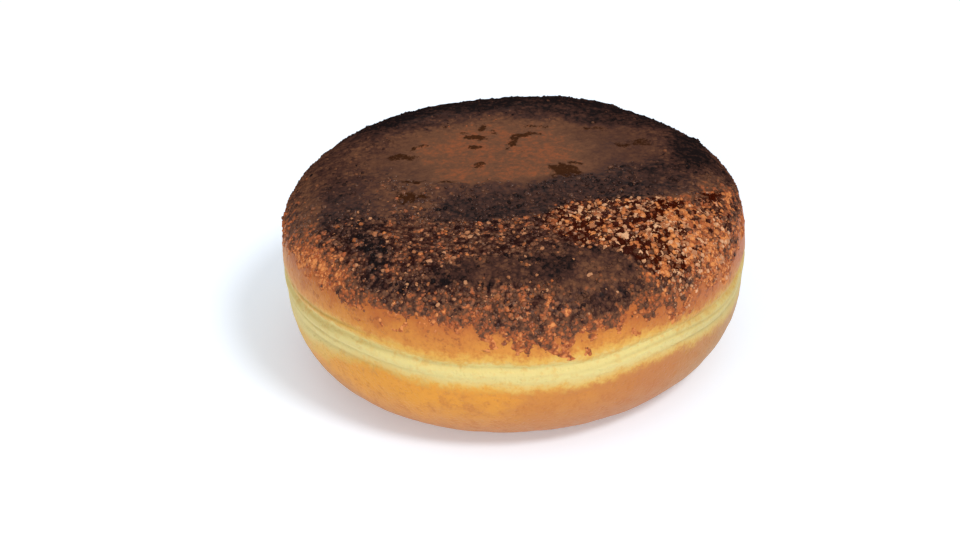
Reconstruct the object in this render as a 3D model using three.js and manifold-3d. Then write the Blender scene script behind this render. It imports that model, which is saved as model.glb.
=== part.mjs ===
// A filled yeast doughnut with a burnt sugar crust on its top.
//
// Millimetres, +Z up. The origin is on the table under the middle of the doughnut,
// and -Y is its front. Two pieces: the fried dough, which is one solid with a pale
// ring round its waist, and the sugar crust that lies on its crown like a cap.

import * as THREE from 'three';
import { mergeVertices } from 'three/addons/utils/BufferGeometryUtils.js';
import Module from 'manifold-3d';

const wasm = await Module();
wasm.setup();

// ---------------------------------------------------------------- driving dimensions

const DIAMETER = 89; // across the dough, over its pale ring
const HEIGHT = 37; // from the table to the top of the crust
const BASE_DIAMETER = 60; // the flat spot that the doughnut rests on
const RING_MIDDLE = 19.8; // height of the pale ring's middle
const RING_WIDTH = 5.6; // height of the pale ring itself
const RING_GROOVE = 0.9; // how far the ring is drawn in at its upper crease
const RING_SWELL = 0.35; // how far the ring stands out under that crease
const CROWN_DIAMETER = 50; // the nearly level part of the top
const CROWN_RISE = 0.7; // how much the crown swells above its own edge
const CRUST_THICKNESS = 0.9; // burnt sugar, on the crown
const CRUST_EDGE_THICKNESS = 0.4; // burnt sugar, where it thins out on the side
const CRUST_GAP = 0.3; // clearance between the crust and the dough

const LOWER_ROUNDING = 2.15; // superellipse power of the side under the ring
const UPPER_ROUNDING = 2.8; // superellipse power of the shoulder over the ring

const AROUND = 72; // faces round the doughnut
const CRUST_INSIDE_FACES = 11; // from the axis to the crust's edge, next to the dough
const CRUST_OUTSIDE_FACES = 15; // from the axis to the crust's edge, outside
const CLUMP_COUNT = 76; // clumps of sugar crystals that stand out of the crust
const CLUMP_RADIUS = [0.65, 1.15]; // smallest and largest clump
const CLUMP_ROOM = 1.2; // least distance between two clumps, in sums of their radii

// ---------------------------------------------------------------- derived dimensions

const RADIUS = DIAMETER / 2;
const BASE_RADIUS = BASE_DIAMETER / 2;
const CROWN_RADIUS = CROWN_DIAMETER / 2;
const RING_LOW = RING_MIDDLE - RING_WIDTH / 2;
const RING_HIGH = RING_MIDDLE + RING_WIDTH / 2;
const RING_RADIUS = RADIUS - 0.35; // at the ring's lower edge, where the side turns under
const DOUGH_HEIGHT = HEIGHT - CRUST_THICKNESS - CRUST_GAP;
const CROWN_EDGE_HEIGHT = DOUGH_HEIGHT - CROWN_RISE;
const FRONT = -Math.PI / 2; // direction of -Y, as an angle from +X

const degrees = (value) => THREE.MathUtils.degToRad(value);
const bell = (distance, width) => Math.exp(-((distance / width) ** 2));

/** The signed angle from one direction to another, between -PI and PI. */
function turnBetween(from, to) {
  return Math.atan2(Math.sin(to - from), Math.cos(to - from));
}

/** Random numbers from 0 to 1 that are the same on every run. */
function seededRandom(seed) {
  let state = seed;
  return () => {
    state = (state + 0x6d2b79f5) | 0;
    let mixed = Math.imul(state ^ (state >>> 15), 1 | state);
    mixed = (mixed + Math.imul(mixed ^ (mixed >>> 7), 61 | mixed)) ^ mixed;
    return ((mixed ^ (mixed >>> 14)) >>> 0) / 4294967296;
  };
}

// ---------------------------------------------------------------- the dough's side view

/**
 * One quarter of a superellipse, from its level end (share 0) to its upright end (share 1).
 * Returns the two shares, from 0 to 1, of its width and of its height.
 */
function quarterRound(share, power) {
  const angle = (share * Math.PI) / 2;
  return {
    across: Math.sin(angle) ** (2 / power),
    up: 1 - Math.cos(angle) ** (2 / power),
  };
}

// The side view is five stretches, each a function of a share from 0 to 1.
const underside = (share) => ({ r: BASE_RADIUS * share, z: 0 });

function lowerSide(share) {
  const { across, up } = quarterRound(share, LOWER_ROUNDING);
  return { r: BASE_RADIUS + (RING_RADIUS - BASE_RADIUS) * across, z: RING_LOW * up };
}

function paleRing(share) {
  const crease = bell(share - 0.62, 0.16) * RING_GROOVE;
  const swell = RING_SWELL * Math.sin(Math.PI * share);
  const blend = THREE.MathUtils.lerp(RING_RADIUS, RADIUS, share);
  return { r: blend + swell - crease, z: RING_LOW + RING_WIDTH * share };
}

function shoulder(share) {
  const { across, up } = quarterRound(1 - share, UPPER_ROUNDING);
  return {
    r: CROWN_RADIUS + (RADIUS - CROWN_RADIUS) * across,
    z: RING_HIGH + (CROWN_EDGE_HEIGHT - RING_HIGH) * (1 - up),
  };
}

function crown(share) {
  const swell = Math.sin((share * Math.PI) / 2);
  return { r: CROWN_RADIUS * (1 - share), z: CROWN_EDGE_HEIGHT + CROWN_RISE * swell };
}

const STRETCHES = [
  { at: underside, faces: 3 },
  { at: lowerSide, faces: 7 },
  { at: paleRing, faces: 5 },
  { at: shoulder, faces: 8 },
  { at: crown, faces: 4 },
];
const SHOULDER_START = 3; // stations count the stretches: 3 is where the shoulder begins
const TOP_STATION = STRETCHES.length;

/** The side view's point at a station, which runs from 0 under the dough to 5 on top. */
function sideView(station) {
  const index = Math.min(Math.floor(station), STRETCHES.length - 1);
  return STRETCHES[index].at(station - index);
}

// ---------------------------------------------------------------- what makes it uneven

/** Hand-shaped dough isn't quite round: a few slow waves round the outline. */
function outlineWaves(angle) {
  return (
    1 +
    0.002 * Math.cos(2 * (angle - degrees(45))) +
    0.0055 * Math.cos(3 * (angle - degrees(7))) +
    0.002 * Math.cos(5 * (angle - degrees(10)))
  );
}

/** The waist rises and falls as it goes round, and bows down a little at the front. */
function waistWaves(angle) {
  const front = bell(turnBetween(FRONT + degrees(12), angle), degrees(16));
  return (
    0.45 * Math.cos(2 * (angle - degrees(55))) +
    0.35 * Math.cos(5 * (angle - degrees(-62))) +
    0.2 * Math.cos(9 * (angle - degrees(-50))) -
    0.9 * front
  );
}

/** Slow swellings of the crown, in millimetres of height. */
function crownSwell(x, y) {
  return (
    0.35 * Math.cos((x + 6) / 11) * Math.cos((y - 4) / 13) +
    0.2 * Math.cos((x - 2 * y) / 9) -
    0.35
  );
}

/** A point of the dough's skin, at an angle round it and a station of the side view. */
function doughPoint(angle, station) {
  const { r, z } = sideView(station);
  const rise = z / DOUGH_HEIGHT;
  const radius = r * outlineWaves(angle);
  const x = radius * Math.cos(angle);
  const y = radius * Math.sin(angle);
  const waistShare = Math.sin(Math.PI * rise) ** 2;
  const topShare = THREE.MathUtils.smoothstep(z, RING_HIGH, CROWN_EDGE_HEIGHT);
  const lift = waistShare * waistWaves(angle) + topShare * crownSwell(x, y);
  return new THREE.Vector3(x, y, z + lift);
}

/** The direction that points out of the dough's skin there. */
function doughNormal(angle, station) {
  const step = 0.01;
  const low = Math.min(station, TOP_STATION - 2 * step);
  const along = doughPoint(angle, low + step).sub(doughPoint(angle, low));
  const round = doughPoint(angle + step, low).sub(doughPoint(angle, low));
  return round.cross(along).normalize();
}

// ---------------------------------------------------------------- the sugar crust's own form

// The sugar melted to a level pool on the crown, with a burnt ridge along its front edge.
const POOL = { x: 1, y: 10, halfWidth: 30, halfDepth: 17, turn: degrees(6) };
const POOL_SINK = 0.35;
const RIDGE_HEIGHT = 0.45;
const RIDGE_WIDTH = 0.16; // as a share of the pool's own size

/** How far a point is from the pool's middle, where 1 is on its edge. */
function poolReach(x, y) {
  const across = (x - POOL.x) * Math.cos(POOL.turn) + (y - POOL.y) * Math.sin(POOL.turn);
  const deep = -(x - POOL.x) * Math.sin(POOL.turn) + (y - POOL.y) * Math.cos(POOL.turn);
  return Math.hypot(across / POOL.halfWidth, deep / POOL.halfDepth);
}

/** The sugar's thickness over a point of the dough, for a share of the way to its edge. */
function crustThickness(point, edgeShare) {
  const reach = poolReach(point.x, point.y);
  const pool = 1 - THREE.MathUtils.smoothstep(reach, 0.75, 1);
  const ridge = bell(reach - 1, RIDGE_WIDTH) * THREE.MathUtils.smoothstep(POOL.y - point.y, 0, 12);
  const lumps = 0.16 * Math.cos(point.x / 1.9) * Math.cos(point.y / 2.3 + point.z / 2.7) * (1 - pool);
  const thinning = THREE.MathUtils.smoothstep(edgeShare, 0.7, 1);
  const bulk = THREE.MathUtils.lerp(CRUST_THICKNESS, CRUST_EDGE_THICKNESS, thinning);
  return bulk + (RIDGE_HEIGHT * ridge - POOL_SINK * pool + lumps) * (1 - thinning);
}

// Where the sugar ran down the side, as a height above the table, with a tongue at the front.
const EDGE_HEIGHT = 26.8;
const TONGUE = { turn: degrees(7), width: degrees(11), drop: 3 };

/** The height above the table that the sugar's edge comes down to. */
function edgeHeight(angle) {
  const fromFront = turnBetween(FRONT, angle);
  const tongue = bell(fromFront - TONGUE.turn, TONGUE.width) * TONGUE.drop;
  const leftIsHigher = 1.3 * bell(fromFront + degrees(38), degrees(30));
  const rags =
    0.55 * Math.cos(7 * angle + 0.4) +
    0.4 * Math.cos(13 * angle + 2.1) +
    0.3 * Math.cos(22 * angle + 5.2);
  return EDGE_HEIGHT - tongue + leftIsHigher + rags;
}

/** The station of the side view whose height is the one given, found by halving. */
function stationAtHeight(height) {
  let low = SHOULDER_START;
  let high = SHOULDER_START + 1;
  for (let halving = 0; halving < 24; halving += 1) {
    const middle = (low + high) / 2;
    if (sideView(middle).z < height) low = middle;
    else high = middle;
  }
  return (low + high) / 2;
}

/** A point on the crust: edgeShare is 0 on the axis and 1 at its edge, and depth 0 is outside. */
function crustPoint(angle, edgeShare, depth) {
  const edge = stationAtHeight(edgeHeight(angle));
  const station = THREE.MathUtils.lerp(TOP_STATION, edge, edgeShare);
  const skin = doughPoint(angle, station);
  const thickness = crustThickness(skin, edgeShare) * (1 - depth);
  return skin.addScaledVector(doughNormal(angle, station), CRUST_GAP + thickness);
}

// Where the sugar kept its grain: on the right of the front slope, and all along the front edge.
const GRITTY_SPOT = { x: 25, y: -22, width: 15 };
const GRITTY_EDGE_WIDTH = 0.2; // as a share of the way from the axis to the edge

/** How much of the sugar is still in grains there, from 0 to 1. */
function grittiness(point, edgeShare) {
  const spot = bell(Math.hypot(point.x - GRITTY_SPOT.x, point.y - GRITTY_SPOT.y), GRITTY_SPOT.width);
  const front = THREE.MathUtils.smoothstep(-point.y, -5, 25);
  return Math.max(spot, 0.7 * front * bell(1 - edgeShare, GRITTY_EDGE_WIDTH));
}

// ---------------------------------------------------------------- meshes from formulas

/** Leaves position alone, merges what coincides and drops the triangles that vanish. */
function closedMesh(geometry) {
  geometry.deleteAttribute('normal');
  geometry.deleteAttribute('uv');
  const merged = mergeVertices(geometry, 1e-4);
  const corners = merged.index.array;
  const kept = [];
  for (let i = 0; i < corners.length; i += 3) {
    const [a, b, c] = corners.subarray(i, i + 3);
    if (a !== b && b !== c && c !== a) kept.push(a, b, c);
  }
  merged.setIndex(kept);
  return merged;
}

/**
 * A turned solid whose every point is then placed by a function of its angle and its row.
 * The rows run up the outside, so the faces point out, and the first and last are on the axis.
 */
function turnedSolid(rowCount, place) {
  const rows = Array.from({ length: rowCount }, (_, row) => new THREE.Vector2(1, row));
  const geometry = new THREE.LatheGeometry(rows, AROUND);
  const position = geometry.getAttribute('position');
  for (let column = 0; column <= AROUND; column += 1) {
    const angle = ((column % AROUND) / AROUND) * 2 * Math.PI;
    for (let row = 0; row < rowCount; row += 1) {
      const point = place(angle, row);
      position.setXYZ(column * rowCount + row, point.x, point.y, point.z);
    }
  }
  return closedMesh(geometry);
}

function toManifold(geometry) {
  return new wasm.Manifold(
    new wasm.Mesh({
      numProp: 3,
      vertProperties: new Float32Array(geometry.getAttribute('position').array),
      triVerts: new Uint32Array(geometry.index.array),
    }),
  );
}

function fromManifold(solid) {
  const mesh = solid.getMesh();
  const geometry = new THREE.BufferGeometry();
  geometry.setAttribute('position', new THREE.BufferAttribute(mesh.vertProperties, 3));
  geometry.setIndex(new THREE.BufferAttribute(mesh.triVerts, 1));
  return geometry;
}

// ---------------------------------------------------------------- the two pieces

function doughGeometry() {
  const stations = [];
  STRETCHES.forEach(({ faces }, index) => {
    for (let face = 0; face < faces; face += 1) {
      stations.push(index + face / faces);
    }
  });
  stations.push(TOP_STATION);
  // A pole is one point, so its row takes one angle.
  const isPole = (row) => row === 0 || row === stations.length - 1;
  return turnedSolid(stations.length, (angle, row) => doughPoint(isPole(row) ? 0 : angle, stations[row]));
}

/** The bare sheet of sugar: down its inside from the axis, round its edge and up its outside. */
function crustSheet() {
  const rows = [];
  for (let face = 0; face <= CRUST_INSIDE_FACES; face += 1) {
    rows.push({ share: face / CRUST_INSIDE_FACES, depth: 1 });
  }
  for (let face = CRUST_OUTSIDE_FACES; face >= 0; face -= 1) {
    rows.push({ share: face / CRUST_OUTSIDE_FACES, depth: 0 });
  }
  return turnedSolid(rows.length, (angle, row) => {
    const { share, depth } = rows[row];
    return crustPoint(share === 0 ? 0 : angle, share, depth);
  });
}

/** One clump of crystals, flattened and turned at random, half sunk in the crust. */
function crystalClump(random) {
  const angle = FRONT + degrees(-90 + 180 * random());
  const edgeShare = Math.sqrt(0.05 + 0.85 * random());
  const radius = THREE.MathUtils.lerp(...CLUMP_RADIUS, random() ** 2);
  const spot = crustPoint(angle, edgeShare, 0);
  const outward = spot.clone().sub(crustPoint(angle, edgeShare, 1)).normalize();
  const upright = new THREE.Quaternion().setFromUnitVectors(new THREE.Vector3(0, 0, 1), outward);
  const spin = new THREE.Quaternion().setFromAxisAngle(new THREE.Vector3(0, 0, 1), random() * Math.PI);
  const clump = new THREE.IcosahedronGeometry(radius, 0);
  clump.scale(1, 0.7 + 0.3 * random(), 0.62);
  clump.applyQuaternion(upright.multiply(spin));
  clump.translate(...spot.addScaledVector(outward, 0.12 * radius));
  return { clump: closedMesh(clump), spot, radius, chance: grittiness(spot, edgeShare) };
}

/** Clumps spread over the gritty part of the crust, each clear of the others. */
function crystalClumps() {
  const random = seededRandom(7);
  const placed = [];
  while (placed.length < CLUMP_COUNT) {
    const next = crystalClump(random);
    const room = ({ spot, radius }) => spot.distanceTo(next.spot) / (radius + next.radius);
    const clear = placed.every((other) => room(other) > CLUMP_ROOM);
    if (clear && random() < next.chance) placed.push(next);
  }
  return placed.map(({ clump }) => clump);
}

function crustGeometry() {
  const sheet = toManifold(crustSheet());
  return fromManifold(crystalClumps().reduce((joined, clump) => joined.add(toManifold(clump)), sheet));
}

// ---------------------------------------------------------------- the model

function piece(name, geometry, material) {
  const mesh = new THREE.Mesh(geometry, new THREE.MeshStandardMaterial(material));
  mesh.name = name;
  return mesh;
}

const doughnut = new THREE.Group();
doughnut.add(
  piece('dough', doughGeometry(), { color: 0xd08a45, roughness: 0.6, metalness: 0 }),
  piece('sugar_crust', crustGeometry(), { color: 0x4c2a1c, roughness: 0.35, metalness: 0 }),
);

// The slow waves shift the outline a little, so the whole is set back over the origin.
const box = new THREE.Box3().setFromObject(doughnut);
const middle = box.getCenter(new THREE.Vector3());
doughnut.position.set(-middle.x, -middle.y, -box.min.z);

export default doughnut;
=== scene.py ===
"""A filled doughnut with a crust of burnt sugar, dressed round its fixed CAD frame.

Everything is in metres, +Z up, with the doughnut's flat spot on the floor at the origin
and its front towards -Y.
"""

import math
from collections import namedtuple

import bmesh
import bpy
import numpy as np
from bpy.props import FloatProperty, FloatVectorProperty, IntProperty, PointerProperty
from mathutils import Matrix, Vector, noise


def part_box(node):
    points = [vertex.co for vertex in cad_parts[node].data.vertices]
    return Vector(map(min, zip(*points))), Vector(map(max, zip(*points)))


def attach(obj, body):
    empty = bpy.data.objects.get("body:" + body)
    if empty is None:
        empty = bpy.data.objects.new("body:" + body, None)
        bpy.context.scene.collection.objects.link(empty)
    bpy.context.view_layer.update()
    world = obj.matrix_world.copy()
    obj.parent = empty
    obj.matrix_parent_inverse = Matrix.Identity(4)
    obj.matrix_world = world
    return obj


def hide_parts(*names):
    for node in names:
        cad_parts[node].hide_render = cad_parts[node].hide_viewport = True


bl_info = {
    "name": "Burnt Sugar Doughnut",
    "version": (1, 0, 0),
    "blender": (4, 5, 0),
    "location": "View3D > Sidebar > Doughnut",
    "description": "Builds a filled doughnut with a crust of burnt sugar",
    "category": "Add Mesh",
}

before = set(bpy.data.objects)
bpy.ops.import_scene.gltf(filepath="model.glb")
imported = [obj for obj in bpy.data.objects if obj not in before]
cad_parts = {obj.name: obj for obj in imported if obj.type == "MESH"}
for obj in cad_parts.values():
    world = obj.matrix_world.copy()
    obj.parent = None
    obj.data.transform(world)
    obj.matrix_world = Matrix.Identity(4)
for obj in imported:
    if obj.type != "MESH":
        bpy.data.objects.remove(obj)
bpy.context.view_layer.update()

DOUGH_LOW, DOUGH_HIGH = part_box("dough")

MM = 0.001
FRONT = -math.pi / 2


# ---------------------------------------------------------------- settings


def linear(red, green, blue):
    """A colour given as display values from 0 to 255, as the linear values that shaders take."""
    shares = (red / 255, green / 255, blue / 255)
    return tuple(s / 12.92 if s <= 0.04045 else ((s + 0.055) / 1.055) ** 2.4 for s in shares)


def length(name, description, default):
    """A length property, in metres."""
    return FloatProperty(
        name=name, description=description, default=default, precision=5, unit="LENGTH"
    )


def number(name, description, default):
    """A plain number property."""
    return FloatProperty(name=name, description=description, default=default)


def turn(name, description, default):
    """An angle property, given in degrees and kept in radians."""
    return FloatProperty(
        name=name, description=description, default=math.radians(default), subtype="ANGLE"
    )


def colour(name, description, default):
    """A colour property, given as display values from 0 to 255."""
    return FloatVectorProperty(
        name=name, description=description, default=linear(*default), subtype="COLOR", min=0, max=1
    )


class DoughSettings(bpy.types.PropertyGroup):
    """The form and the colours of the fried dough."""

    diameter: length("Diameter", "Across the dough, over its pale ring", (DOUGH_HIGH - DOUGH_LOW).x)
    height: length("Height", "From the table to the top of the dough", 35.8 * MM)
    base_diameter: length("Base Diameter", "Flat spot that the doughnut rests on", 60 * MM)
    ring_middle: length("Ring Middle", "Height of the pale ring's middle", 19.8 * MM)
    ring_width: length("Ring Width", "Height of the pale ring itself", 5.6 * MM)
    ring_groove: length("Ring Groove", "How far the ring is drawn in at its upper crease", 0.9 * MM)
    ring_swell: length("Ring Swell", "How far the ring stands out under its crease", 0.35 * MM)
    crown_diameter: length("Crown Diameter", "Nearly level part of the top", 50 * MM)
    crown_rise: length("Crown Rise", "How much the crown swells above its own edge", 0.7 * MM)
    lower_rounding: number("Lower Rounding", "Superellipse power of the side under the ring", 2.15)
    upper_rounding: number("Upper Rounding", "Superellipse power of the shoulder", 2.8)
    blister: length("Blisters", "Height of the small swellings that frying raises", 0.11 * MM)
    pore: length("Pores", "Depth of the skin's open pores", 0.09 * MM)
    wrinkle: length("Wrinkles", "Depth of the fine wrinkles along the pale ring", 0.1 * MM)
    golden: colour("Golden", "Fried skin under the ring", (226, 152, 52))
    # Russet is a browner tone of the skin and also painted shade towards the right.
    russet_and_side_shade: colour("Russet", "Fried skin under the ring on its browner side", (191, 119, 64))
    underside: colour("Underside", "Fried skin near the table", (190, 129, 85))
    amber: colour("Amber", "Fried skin just over the ring", (214, 139, 56))
    tanned: colour("Tanned", "Fried skin near the sugar", (183, 100, 44))
    speck: colour("Specks", "Dark specks of the fried skin", (128, 66, 38))
    pale: colour("Pale Ring", "The ring that stayed out of the fat", (226, 207, 136))
    straw: colour("Straw", "The pale ring's edges, where the fat just reached", (226, 179, 84))
    # Olive is painted shade: on the left and right ends, and in the fine lines along the ring.
    olive_shade: colour("Olive", "Duller skin on the left and right sides", (176, 150, 88))


class CrustSettings(bpy.types.PropertyGroup):
    """The form and the colours of the burnt sugar."""

    thickness: length("Thickness", "Burnt sugar on the crown", 0.9 * MM)
    edge_thickness: length("Edge Thickness", "Burnt sugar where it thins out", 0.3 * MM)
    lift: length("Lift", "How much further the crust's surface stands off the dough", 0.3 * MM)
    edge_height: length("Edge Height", "Height that the sugar comes down to", 26.8 * MM)
    tongue_turn: turn("Tongue Turn", "Where the sugar's tongue is, from the front", 7)
    tongue_width: turn("Tongue Width", "Width of the sugar's tongue, as an angle", 11)
    tongue_drop: length("Tongue Drop", "How much further down the tongue comes", 3 * MM)
    ridge: length("Ridge", "Height of the burnt ridge in front of the pool", 0.45 * MM)
    sink: length("Sink", "How much lower the melted pool lies", 0.35 * MM)
    lump: length("Lumps", "Height of the lumps outside the pool", 0.22 * MM)
    grain: length("Grain Relief", "Height of the grains that show in the sugar", 0.16 * MM)
    toasted: colour("Toasted", "Sugar that is only just coloured", (221, 140, 80))
    brown: colour("Brown", "Sugar on its way to caramel", (170, 89, 50))
    caramel: colour("Caramel", "Sugar that melted and browned", (111, 73, 52))
    dark: colour("Dark", "Burnt sugar", (73, 46, 38))
    char: colour("Char", "Sugar that is nearly black", (28, 21, 21))
    singed: colour("Singed", "Single grains that burnt among toasted ones", (64, 16, 2))
    scab: colour("Scabs", "Flecks that burnt in the pool", (54, 28, 12))
    crystal: colour("Crystal", "Crystals that show in the toasted sugar", (228, 184, 154))


class GrainSettings(bpy.types.PropertyGroup):
    """The loose grains of sugar on the crust."""

    seed: IntProperty(name="Seed", description="Start of the random draws", default=5)
    fused_count: IntProperty(
        name="Fused Grains", description="Grains that burnt with the crust", default=9600
    )
    pale_count: IntProperty(name="Pale Grains", description="Grains that stayed pale", default=1400)
    smallest: length("Smallest Grain", "Shortest grain", 0.36 * MM)
    largest: length("Largest Grain", "Longest grain", 0.95 * MM)
    pale: colour("Pale", "Grains that stayed pale", (226, 170, 126))
    tan: colour("Tan", "The darkest of the pale grains", (150, 80, 36))


class StageSettings(bpy.types.PropertyGroup):
    """The floor, the lights and the camera."""

    floor_size: length("Floor Size", "Side of the square floor", 3.0)
    floor: colour("Floor", "The floor's own colour", (231, 240, 250))
    floor_glow: number("Floor Glow", "Light that the floor gives by itself", 0.27)
    distance: length("Camera Distance", "From the camera to the doughnut's middle", 0.45)
    elevation: turn("Camera Elevation", "How steeply the camera looks down", 29.6)
    roll: turn("Camera Roll", "How far the picture is turned", 1.84)
    aim: length("Camera Aim", "Height of the point that the camera looks at", 18 * MM)
    lens: number("Lens", "Focal length of the camera, in millimetres", 87.0)
    shift_x: number("Shift X", "Sideways shift of the picture", -0.0354)
    shift_y: number("Shift Y", "Upward shift of the picture", -0.0141)
    sky: number("Sky", "Strength of the even light all round", 0.36)
    softbox: number("Softbox", "Power of the soft light overhead, in watts", 5.6)
    key: number("Key", "Strength of the main light, which stands at the front right", 1.52)
    key_turn: turn("Key Direction", "Where the main light stands, turned from the right to the back", -45)
    key_elevation: turn("Key Elevation", "How high the main light stands", 52)
    key_softness: turn("Key Softness", "How wide the main light looks", 16)
    fill: number("Fill", "Power of the soft light from the front, in watts", 4.4)


# ---------------------------------------------------------------- small formulas


def bell(distance, width):
    """1 where the distance is 0, falling smoothly to 0 over a few widths."""
    return np.exp(-((distance / width) ** 2))


def smooth(value, low, high):
    """0 below low, 1 above high and an easy curve between them."""
    share = np.clip((value - low) / (high - low), 0, 1)
    return share * share * (3 - 2 * share)


def lerp(first, second, share):
    """The value that lies a share of the way from the first to the second."""
    return first + (second - first) * share


def turn_between(start, end):
    """The signed angle from one direction to another."""
    return np.arctan2(np.sin(end - start), np.cos(end - start))


def quarter_round(share, power):
    """A quarter of a superellipse: its shares across and up, from its level end to its upright end."""
    angle = share * math.pi / 2
    return np.sin(angle) ** (2 / power), 1 - np.cos(angle) ** (2 / power)


def soft_noise(points, size, offset=0.0):
    """Smooth noise from -1 to 1 at each point, with features of about that size."""
    shifted = points / size + offset
    return np.array([noise.noise(p) for p in shifted.tolist()])


def cell_distance(points, size, offset=0.0):
    """How far each point is from the middle of its cell, in cells of about that size."""
    shifted = points / size + offset
    return np.array([noise.voronoi(p)[0][0] for p in shifted.tolist()])


# ---------------------------------------------------------------- the body's form

# Stations count the side view's stretches, from the middle of the base to the middle of the top.
RING_START = 2
SHOULDER_START = 3
TOP_STATION = 5
RING_LEAN = 0.35 * MM  # how much narrower the pale ring is at its lower edge


class Form:
    """The smooth skin of the dough, by an angle round it and a station up its side."""

    def __init__(self, dough):
        self.dough = dough
        self.radius = dough.diameter / 2
        self.base_radius = dough.base_diameter / 2
        self.crown_radius = dough.crown_diameter / 2
        self.ring_low = dough.ring_middle - dough.ring_width / 2
        self.ring_high = dough.ring_middle + dough.ring_width / 2
        self.ring_radius = self.radius - RING_LEAN
        self.crown_edge = dough.height - dough.crown_rise
        self.offset = np.zeros(3)
        self.offset = self.offset_to_frame()

    def offset_to_frame(self):
        """How far the form has to move to stand in the frame as the CAD dough does."""
        angles = np.linspace(0, 2 * math.pi, 361)
        stations = np.linspace(0, TOP_STATION, 101)
        angle, station = np.meshgrid(angles, stations)
        points = self.point(angle.ravel(), station.ravel())
        middle = (points.min(0) + points.max(0)) / 2
        target = (DOUGH_LOW + DOUGH_HIGH) / 2
        return np.array([target.x - middle[0], target.y - middle[1], DOUGH_LOW.z])

    # Each stretch gives its radii and heights for shares from 0, its start, to 1, its end.

    def underside(self, share):
        return self.base_radius * share, 0 * share

    def lower_side(self, share):
        across, up = quarter_round(share, self.dough.lower_rounding)
        return lerp(self.base_radius, self.ring_radius, across), self.ring_low * up

    def pale_ring(self, share):
        crease = bell(share - 0.62, 0.16) * self.dough.ring_groove
        swell = self.dough.ring_swell * np.sin(math.pi * share)
        radius = lerp(self.ring_radius, self.radius, share) + swell - crease
        return radius, self.ring_low + self.dough.ring_width * share

    def shoulder(self, share):
        across, up = quarter_round(1 - share, self.dough.upper_rounding)
        radius = lerp(self.crown_radius, self.radius, across)
        return radius, lerp(self.ring_high, self.crown_edge, 1 - up)

    def crown(self, share):
        rise = self.dough.crown_rise * np.sin(share * math.pi / 2)
        return self.crown_radius * (1 - share), self.crown_edge + rise

    def side(self, station):
        """The radius and the height at each station."""
        index = np.minimum(np.floor(station), TOP_STATION - 1)
        share = station - index
        radius = np.zeros_like(share)
        height = np.zeros_like(share)
        stretches = (self.underside, self.lower_side, self.pale_ring, self.shoulder, self.crown)
        for order, stretch in enumerate(stretches):
            here = index == order
            radius[here], height[here] = stretch(share[here])
        return radius, height

    def outline_waves(self, angle):
        """Hand-shaped dough isn't quite round: a few slow waves round the outline."""
        return (
            1
            + 0.002 * np.cos(2 * (angle - math.radians(45)))
            + 0.0055 * np.cos(3 * (angle - math.radians(7)))
            + 0.002 * np.cos(5 * (angle - math.radians(10)))
        )

    def waist_waves(self, angle):
        """The waist rises and falls as it goes round, and bows down a little at the front."""
        front = bell(turn_between(FRONT + math.radians(12), angle), math.radians(16))
        return MM * (
            0.45 * np.cos(2 * (angle - math.radians(55)))
            + 0.35 * np.cos(5 * (angle - math.radians(-62)))
            + 0.2 * np.cos(9 * (angle - math.radians(-50)))
            - 0.9 * front
        )

    def crown_swell(self, x, y):
        """Slow swellings of the crown."""
        return MM * (
            0.35 * np.cos((x + 6 * MM) / (11 * MM)) * np.cos((y - 4 * MM) / (13 * MM))
            + 0.2 * np.cos((x - 2 * y) / (9 * MM))
            - 0.35
        )

    def point(self, angle, station):
        """The skin's points, one row for each angle and station."""
        radius, height = self.side(station)
        radius = radius * self.outline_waves(angle)
        x = radius * np.cos(angle)
        y = radius * np.sin(angle)
        waist_share = np.sin(math.pi * height / self.dough.height) ** 2
        top_share = smooth(height, self.ring_high, self.crown_edge)
        lift = waist_share * self.waist_waves(angle) + top_share * self.crown_swell(x, y)
        return np.stack([x, y, height + lift], axis=1) + self.offset

    def normal(self, angle, station):
        """The directions that point out of the skin."""
        step = 0.01
        low = np.clip(station, step, TOP_STATION - 2 * step)
        along = self.point(angle, low + step) - self.point(angle, low)
        around = self.point(angle + step, low) - self.point(angle, low)
        out = np.cross(around, along)
        return out / np.linalg.norm(out, axis=1, keepdims=True)


# ---------------------------------------------------------------- how the sugar burnt

# An ellipse on the crown, in metres and radians, that burnt to a level from 0 to 1.
# Its softness is how far the change at its edge reaches in and out, as a share of its size.
Scorch = namedtuple("Scorch", "name x y half_width half_depth turn burn softness")

PLAIN_BURN = 0.74


def scorch(name, x, y, half_width, half_depth, degrees, burn, softness):
    """A scorch given in millimetres and degrees."""
    sizes = (size * MM for size in (x, y, half_width, half_depth))
    return Scorch(name, *sizes, math.radians(degrees), burn, softness)


POOL = scorch("pool", 0, 9, 30, 15.6, 5, 0.6, 0.14)
GRITTY = scorch("grains on the right", 26, -21, 19, 10.5, -14, 0.67, 0.45)
GRITTY_RIM = scorch("grains on the right rim", 40, -8, 6, 10, 4, 0.48, 0.6)
FLANK = scorch("toasted right flank", 38, -21, 9.5, 13, 12, 0.15, 0.6)

# Places where the sugar melted as it burnt, so that hardly a grain shows.
ARC = (
    scorch("arc's left end", -4, -13.6, 12.5, 3.8, 3, 0.83, 0.35),
    scorch("arc's middle", 15, -6, 13, 5.2, 2, 0.83, 0.35),
    scorch("arc's right end", 29, -1.5, 12, 7.5, 8, 0.8, 0.5),
)
DARK_FRONT = (
    scorch("dark ribbon at the front", -4, -34.2, 10, 3.5, 0, 0.7, 0.6),
    scorch("dark patch at the front", 12.5, -33.5, 11, 6.2, 4, 0.73, 0.5),
)

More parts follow.
